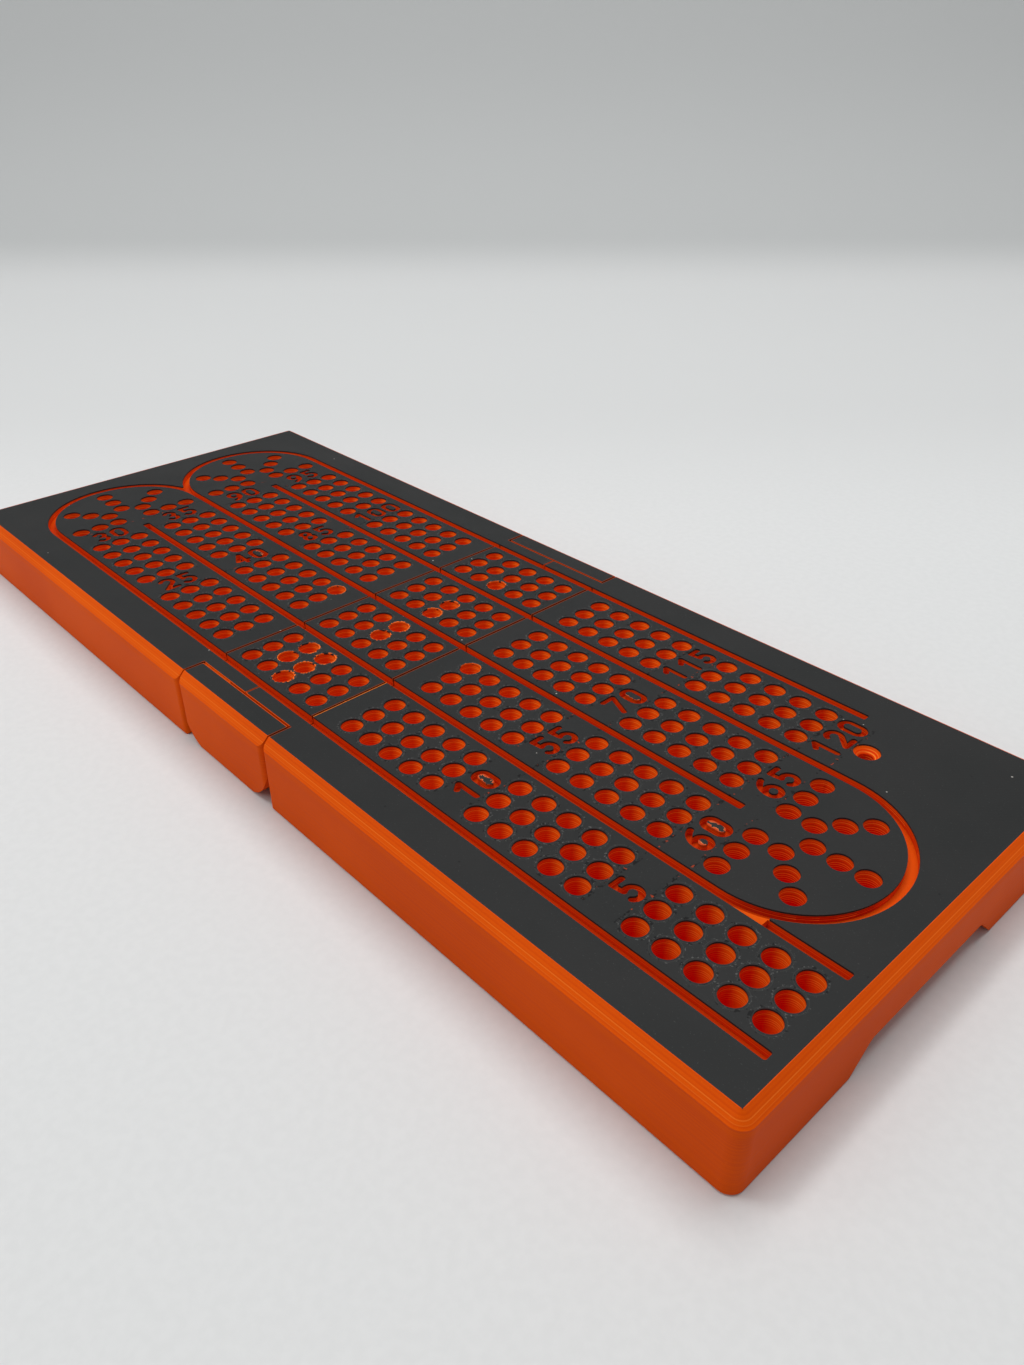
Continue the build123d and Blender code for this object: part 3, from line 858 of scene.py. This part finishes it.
CHIPPED_ISLANDS = [
    # row, lane, digit (1 far, -1 near), shift along X in metres, chipped side (1 far, -1
    # near), chip width in mm, half of the straight part in metres
    (9, 1, 1, 0.0, 1.0, 0.62, ZERO_STRAIGHT),
    (9, 1, 1, 0.0, -1.0, 0.5, ZERO_STRAIGHT),
    (15, 2, 1, 0.0, 1.0, 0.62, ZERO_STRAIGHT),
    (15, 2, 1, 0.0, -1.0, 0.66, ZERO_STRAIGHT),
    (15, 2, -1, ZERO_STRAIGHT, -1.0, 0.7, 0.0),
    (9, 3, 1, 0.0, -1.0, 0.35, ZERO_STRAIGHT),
    (-9, 2, 1, 0.0, 1.0, 0.6, ZERO_STRAIGHT),
]


def island_chips(tree, tone, islands):
    """The pale edge and the bare body of each chipped island."""
    for row, lane, digit, shift, side, width, straight in islands:
        x, y = hole(row, lane, 0)
        centre = (x + shift, y + digit * DIGIT_OFFSET, TOP)
        for colour, share in ((CHIP_PALE, 1.0), (CHIP_BODY, CHIP_BODY_SHARE)):
            values = {"Centre": centre, "Side": side, "Width": share * width * MM, "Straight": straight}
            chip = place_group(tree, CHIPPED_ISLAND, **values).outputs["Mask"]
            tone = blend_colour(tree, chip, tone, colour)
    return tone


def worn_mask(tree, rims):
    """One mask for all the bare rings of a piece."""
    mask = 0.0
    for row, lane, step, width, lean in rims:
        centre = (*hole(row, lane, step), 0.0)
        ring = place_group(tree, WORN_RIM, Centre=centre, Width=width * MM, Lean=(*lean, 0.0))
        mask = math_node(tree, "MAXIMUM", mask, ring.outputs["Mask"])
    return mask


print("worn rims:", len(WORN_RIMS), "chipped edges:", len(CHIPPED_ISLANDS))

# %% [markdown]
# ## The black top layer
#
# The top is almost smooth: very fine diagonal print passes, small pits and light scuffs.
# A wave texture turned by 45 degrees gives the passes to the bump. The block and the two
# halves each have their own copy of the material, with the rings and chips that are on
# them, and the links share a plain one.

# %% Material: black print
BLACK = srgb(40, 40, 40)
BLACK_DEEP = srgb(37, 38, 38)
PIT_DEEP = srgb(14, 14, 15)
DUST = srgb(190, 186, 180)
BLACK_CLOUDS = 45.0
BLACK_GRAIN = 3200.0
PIT_CELLS = 420.0
DUST_CELLS = 260.0
PASS_ANGLE = math.radians(45.0)
PASS_SCALE = 360.0
BLACK_SHINE = 0.15
BLACK_BUMP = 0.25
RING_DROP = -4.0


def print_passes(tree, spot):
    """Fine diagonal waves for the bump of the top face."""
    turned = add_node(tree, "ShaderNodeMapping", {"Vector": spot.place, "Rotation": (0.0, 0.0, PASS_ANGLE)})
    values = {"Vector": turned.outputs[0], "Scale": PASS_SCALE, "Distortion": 1.2, "Detail": 1.0}
    return add_node(tree, "ShaderNodeTexWave", values).outputs["Fac"]


def black_print(name, rims=(), islands=()):
    """The top layer's finish, with worn rims and chipped islands where they are listed."""
    material, tree = new_material(name)
    spot = board_spot(tree)
    clouds = noise(tree, spot.place, BLACK_CLOUDS, 5.0)
    grain = noise(tree, spot.place, BLACK_GRAIN, 3.0)
    pit = rare_spots(tree, spot, PIT_CELLS, (0.05, 0.16), 0.6, (0.9, 0.95))
    dust = rare_spots(tree, spot, DUST_CELLS, (0.04, 0.07), 0.8, (0.9, 0.91))
    bare = worn_mask(tree, rims)

    tone = blend_colour(tree, ramp(tree, clouds, 0.35, 0.7), BLACK, BLACK_DEEP)
    tone = blend_colour(tree, pit, tone, PIT_DEEP)
    tone = blend_colour(tree, ramp(tree, grain, 0.66, 0.76, 0.0, 0.22), tone, SCUFF)
    tone = hole_marks(tree, tone, spot)
    tone = numeral_marks(tree, tone, spot)
    tone = blend_colour(tree, dust, tone, DUST)
    tone = island_chips(tree, tone, islands)
    tone = blend_colour(tree, bare, tone, WORN_ORANGE)

    relief = scaled(tree, grain, 0.5, times(tree, print_passes(tree, spot), 0.35))
    relief = scaled(tree, bare, RING_DROP, minus(tree, relief, pit))
    finish = {
        "Base Color": tone,
        "Roughness": scaled(tree, clouds, 0.14, 0.48),
        "Specular IOR Level": BLACK_SHINE,
    }
    add_surface(tree, relief, BLACK_BUMP, PRINT_RELIEF, finish)
    return material


BLOCK_ROWS = 2
block_black = black_print("black_print_block", [rim for rim in WORN_RIMS if abs(rim[0]) <= BLOCK_ROWS])
right_black = black_print(
    "black_print_right",
    [rim for rim in WORN_RIMS if rim[0] > BLOCK_ROWS],
    [island for island in CHIPPED_ISLANDS if island[0] > 0],
)
left_black = black_print(
    "black_print_left",
    [rim for rim in WORN_RIMS if rim[0] < -BLOCK_ROWS],
    [island for island in CHIPPED_ISLANDS if island[0] < 0],
)
link_black = black_print("black_print_links")
print("materials:", block_black.name, right_black.name, left_black.name, link_black.name)

# %% [markdown]
# ## Steel and nickel
#
# The pins are hidden in the hinge and the magnets sit in the underside, so little of them
# is ever seen, but they have a real finish for anyone who takes the model apart. Both
# metals get fine scratches in their roughness and bump, from a noise that is stretched
# along one direction.

# %% Materials: metals
SCRATCH_STRETCH = (1.0, 0.08, 1.0)
PATCH_SCALE = 260.0
SCRATCH_ROUGH = 0.18
SCRATCH_BUMP = 0.15
SCRATCH_RELIEF = 0.02 * MM


def bare_metal(name, colour, dark, roughness, scratch_scale):
    """A plain metal with fine scratches."""
    material, tree = new_material(name)
    spot = board_spot(tree)
    stretched = add_node(tree, "ShaderNodeMapping", {"Vector": spot.place, "Scale": SCRATCH_STRETCH})
    scratches = noise(tree, stretched.outputs[0], scratch_scale, 4.0)
    patches = noise(tree, spot.place, PATCH_SCALE, 3.0)
    finish = {
        "Base Color": blend_colour(tree, ramp(tree, patches, 0.4, 0.7), colour, dark),
        "Metallic": 1.0,
        "Roughness": ramp(tree, scratches, 0.3, 0.7, roughness, roughness + SCRATCH_ROUGH),
    }
    add_surface(tree, scratches, SCRATCH_BUMP, SCRATCH_RELIEF, finish)
    return material


steel = bare_metal("ground_steel", srgb(190, 190, 192), srgb(165, 166, 170), 0.24, 3000.0)
nickel = bare_metal("nickel_plate", srgb(205, 200, 190), srgb(180, 176, 168), 0.16, 1800.0)
print("materials:", steel.name, nickel.name)

# %% [markdown]
# ## A finish for each piece
#
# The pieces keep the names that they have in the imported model. Only their materials
# change: the five black layers, the pins and the magnets have their own, and every other
# piece is orange print.

# %% Give the finishes to the pieces
TOP_LAYERS = {
    "block_top_layer": block_black,
    "right_top_layer": right_black,
    "left_top_layer": left_black,
    "near_link_top_layer": link_black,
    "far_link_top_layer": link_black,
}
for name, node in nodes.items():
    if name.endswith("_pin"):
        finish = steel
    elif name.endswith("_magnet"):
        finish = nickel
    else:
        finish = TOP_LAYERS.get(name, body_print)
    for slot in node.material_slots:
        slot.material = finish
    if not node.material_slots:
        node.data.materials.append(finish)
print("finished pieces:", len(nodes))

# %% [markdown]
# ## Print flaws: lumps
#
# A few flaws of the real print are pieces of their own. Three are lumps of filament: one
# in a zero, one on a seam and one at the end of a stray thread. A bump can't give them
# their own outline, so they are meshes. Each starts as a sphere one metre across at its
# place, is scaled down to size, is made uneven in edit mode by a share of that size, and
# rides on the body that it sticks to. All of them stay below the top face.

# %% Lumps
FLAW_CLEARANCE = 0.03 * MM
LUMP_UNEVEN = 0.012
SEAM_Y = -LINK_SEAM_Y / MM


def finish_piece(piece, name, body, material):
    """Names a new piece, puts its place into its mesh and lets it ride on a body."""
    piece.name = name
    piece.data.name = name
    bpy.ops.object.transform_apply(location=True, rotation=True, scale=True)
    piece.data.materials.append(material)
    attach(piece, body)
    print("piece:", name, "faces", len(piece.data.polygons))


def lump(name, x, y, size, seed, body, material):
    """An uneven lump of filament, size given in mm, with its top just under the top face."""
    bpy.ops.object.select_all(action="DESELECT")
    width, length, height = size
    place = (x * MM, y * MM, TOP - FLAW_CLEARANCE - height * MM / 2)
    bpy.ops.mesh.primitive_ico_sphere_add(subdivisions=4, radius=0.5, location=place)
    bpy.ops.transform.resize(value=(width * MM, length * MM, height * MM))
    bpy.ops.object.mode_set(mode="EDIT")
    bpy.ops.mesh.select_all(action="SELECT")
    bpy.ops.transform.vertex_random(offset=LUMP_UNEVEN, seed=seed)
    bpy.ops.mesh.vertices_smooth(factor=0.4, repeat=1)
    bpy.ops.object.mode_set(mode="OBJECT")
    bpy.ops.object.shade_smooth()
    finish_piece(bpy.context.object, name, body, material)


lump("filament_lump", -64.3, 34.2, (1.9, 1.5, 1.1), 3, "left_wing", link_black)
lump("seam_lump", 18.9, -35.9, (0.34, 0.7, 0.5), 5, "spine", body_print)
lump("thread_end", -6.8, SEAM_Y, (0.8, 0.4, 0.4), 8, "spine", body_print)

# %% [markdown]
# ## Print flaws: the stray thread
#
# A thread of filament lies in the near link's seam. It could be a curve with a thickness,
# but a cylinder has closed ends from the start, so it is a thin one, laid along the seam.
# Cuts across it give it enough points to be made uneven, as a thread is that the nozzle
# pulled.

# %% Thread
THREAD_Z = TOP / MM - 0.16
THREAD_START = (-18.2, SEAM_Y, THREAD_Z)
THREAD_END = (-6.9, SEAM_Y, THREAD_Z)
THREAD_RADIUS = 0.1
THREAD_SIDES = 10
THREAD_CUTS = 36
THREAD_UNEVEN = 0.025 * MM
THREAD_SEED = 11


def thread(name, start, end, radius, body, material):
    """An uneven stray thread between two points of a seam, places and radius in mm."""
    bpy.ops.object.select_all(action="DESELECT")
    first = Vector(start) * MM
    last = Vector(end) * MM
    run = last - first
    bpy.ops.mesh.primitive_cylinder_add(
        vertices=THREAD_SIDES,
        radius=radius * MM,
        depth=run.length,
        location=(first + last) / 2,
        rotation=run.to_track_quat("Z", "Y").to_euler(),
    )
    bpy.ops.object.mode_set(mode="EDIT")
    for cut in range(1, THREAD_CUTS):
        bpy.ops.mesh.select_all(action="SELECT")
        bpy.ops.mesh.bisect(plane_co=first.lerp(last, cut / THREAD_CUTS), plane_no=run.normalized())
    bpy.ops.mesh.select_all(action="SELECT")
    bpy.ops.transform.vertex_random(offset=THREAD_UNEVEN, seed=THREAD_SEED)
    bpy.ops.object.mode_set(mode="OBJECT")
    bpy.ops.object.shade_smooth()
    finish_piece(bpy.context.object, name, body, material)


thread("seam_thread", THREAD_START, THREAD_END, THREAD_RADIUS, "spine", body_print)

# %% [markdown]
# ## The sheet
#
# The board lies on a pale, smooth sheet that sweeps up behind it without an edge. A floor
# and a wall would show a line where they meet, so one flat plane is turned to face the
# camera, and its far edge is extruded in small steps along a quarter circle and then
# straight up.

# %% Sheet
VIEW_AZIMUTH = math.radians(47.0)
AWAY = Vector((-math.sin(VIEW_AZIMUTH), math.cos(VIEW_AZIMUTH), 0.0))
SHEET_SIZE = 5.0
FLAT_BEHIND = 0.46
SWEEP_RADIUS = 0.32
SWEEP_STEPS = 24
WALL_HEIGHT = 1.6


def select_far_edge(mesh):
    """Selects only the edge of the sheet that lies furthest from the camera."""
    limit = FLAT_BEHIND - MM
    for vertex in mesh.vertices:
        vertex.select = vertex.co.dot(AWAY) > limit
    for edge in mesh.edges:
        edge.select = all(mesh.vertices[index].select for index in edge.vertices)
    for polygon in mesh.polygons:
        polygon.select = False


def extrude(move):
    """Extrudes the selected edge by a vector."""
    bpy.ops.mesh.extrude_region_move(TRANSFORM_OT_translate={"value": move})


bpy.ops.object.select_all(action="DESELECT")
sheet_middle = AWAY * (FLAT_BEHIND - SHEET_SIZE / 2)
bpy.ops.mesh.primitive_plane_add(size=SHEET_SIZE, location=sheet_middle, rotation=(0.0, 0.0, VIEW_AZIMUTH))
sheet = bpy.context.object
sheet.name = "sheet"
bpy.ops.object.transform_apply(location=True, rotation=True, scale=True)
select_far_edge(sheet.data)
bpy.ops.object.mode_set(mode="EDIT")
sweep_angle = math.pi / 2 / SWEEP_STEPS
sweep_length = 2 * SWEEP_RADIUS * math.sin(sweep_angle / 2)
for sweep_step in range(SWEEP_STEPS):
    climb = (sweep_step + 0.5) * sweep_angle
    extrude(AWAY * (sweep_length * math.cos(climb)) + Vector((0.0, 0.0, sweep_length * math.sin(climb))))
extrude((0.0, 0.0, WALL_HEIGHT))
bpy.ops.object.mode_set(mode="OBJECT")
bpy.ops.object.shade_smooth()
print("sheet:", sheet.name, "faces", len(sheet.data.polygons))

# %% [markdown]
# ## White card
#
# The sheet's finish is white card with a trace of grain. The photograph's background gets
# darker towards the back, where less light reaches it, so painted shade makes the tone
# fall off behind the board and up the sweep.

# %% Material: pale sheet
CARD_TEXTURE = 500.0
CARD = srgb(227, 228, 228)
CARD_GRAIN = srgb(224, 225, 225)
# painted shade: the card's tone behind the board, on the sweep and up the wall
CARD_SHADE_BEHIND = srgb(216, 217, 217)
CARD_SHADE_SWEEP = srgb(188, 190, 190)
CARD_SHADE_WALL = srgb(181, 183, 183)


def pale_sheet():
    """White card with painted shade that makes it a little darker behind the board."""
    material, tree = new_material("pale_sheet")
    spot = board_spot(tree)
    behind = vector_node(tree, "DOT_PRODUCT", spot.place, AWAY, output="Value")
    grain = noise(tree, spot.place, CARD_TEXTURE, 3.0)
    tone = blend_colour(tree, ramp(tree, grain, 0.3, 0.7), CARD, CARD_GRAIN)
    tone = blend_colour(tree, ramp(tree, behind, 0.08, 0.24), tone, CARD_SHADE_BEHIND)
    tone = blend_colour(tree, ramp(tree, spot.z, -0.006, 0.016), tone, CARD_SHADE_SWEEP)
    tone = blend_colour(tree, ramp(tree, spot.z, 0.02, 0.14), tone, CARD_SHADE_WALL)
    values = {"Base Color": tone, "Roughness": 0.8, "Specular IOR Level": 0.0}
    shader = add_node(tree, "ShaderNodeBsdfPrincipled", values)
    add_node(tree, "ShaderNodeOutputMaterial", {"Surface": shader.outputs[0]})
    return material


sheet.data.materials.append(pale_sheet())
print("material:", sheet.data.materials[0].name)

# %% [markdown]
# ## Light
#
# The light is soft and comes from above, a little from the left of the picture: the near
# side is lighter than the right end, and so are the right-hand walls of the holes. Three
# square lamps do this: a large one overhead, a small skylight that reaches into the holes
# and a window low on the near side. The world adds an even fill. The camera sees a plain
# grey where the sheet ends, while the fill lights the scene.

# %% World
FILL_STRENGTH = 0.30
BACKDROP = srgb(200, 201, 201)
WHITE = (1.0, 1.0, 1.0, 1.0)

world = bpy.data.worlds.new("studio")
bpy.context.scene.world = world
world.use_nodes = True
sky = world.node_tree
sky.nodes.clear()
path = add_node(sky, "ShaderNodeLightPath").outputs
seen = math_node(sky, "MAXIMUM", path["Is Camera Ray"], path["Is Glossy Ray"])
seen = math_node(sky, "MAXIMUM", seen, path["Is Transmission Ray"])
fill = add_node(sky, "ShaderNodeBackground", {"Color": WHITE, "Strength": FILL_STRENGTH})
backdrop = add_node(sky, "ShaderNodeBackground", {"Color": BACKDROP, "Strength": 1.0})
mix = add_node(sky, "ShaderNodeMixShader", {0: seen, 1: fill.outputs[0], 2: backdrop.outputs[0]})
add_node(sky, "ShaderNodeOutputWorld", {"Surface": mix.outputs[0]})
print("world:", world.name)

# %% Lamps
LAMPS = [
    # name, place in metres, size in metres, power in watts
    ("overhead", (-0.02, 0.3, 1.3), 0.9, 10.4),
    ("skylight", (-0.31, -0.33, 1.25), 0.25, 3.2),
    ("window", (-0.58, -1.0, 0.8), 0.9, 3.0),
]


def soft_lamp(name, place, size, power):
    """A square area lamp that looks at the middle of the board."""
    data = bpy.data.lights.new(name, "AREA")
    data.shape = "SQUARE"
    data.size = size
    data.energy = power
    lamp = bpy.data.objects.new(name, data)
    bpy.context.scene.collection.objects.link(lamp)
    lamp.location = place
    lamp.rotation_euler = (-Vector(place)).to_track_quat("-Z", "Y").to_euler()


for lamp_values in LAMPS:
    soft_lamp(*lamp_values)
print("lamps:", len(LAMPS))

# %% [markdown]
# ## Camera
#
# The camera stands where the photograph was taken. Its place, turn and focal length were
# fitted to the grid of holes in the photograph, whose frame is 1365 pixels high.

# %% Camera
FOCAL_PIXELS = 1062.6
IMAGE_HEIGHT = 1365
SENSOR_HEIGHT = 36.0
CAMERA_PLACE = (0.19496, -0.14696, 0.15452)
CAMERA_TURN = (57.35765, 0.08355, 47.0188)
CLIP_START = 0.01

bpy.ops.object.select_all(action="DESELECT")
camera_data = bpy.data.cameras.new("camera")
camera_data.sensor_fit = "VERTICAL"
camera_data.sensor_height = SENSOR_HEIGHT
camera_data.lens = FOCAL_PIXELS / IMAGE_HEIGHT * SENSOR_HEIGHT
camera_data.clip_start = CLIP_START
camera = bpy.data.objects.new("camera", camera_data)
bpy.context.scene.collection.objects.link(camera)
camera.location = CAMERA_PLACE
camera.rotation_euler = [math.radians(angle) for angle in CAMERA_TURN]
bpy.context.scene.camera = camera
bpy.context.scene.view_settings.view_transform = "Standard"
print("camera lens:", round(camera_data.lens, 2), "mm")
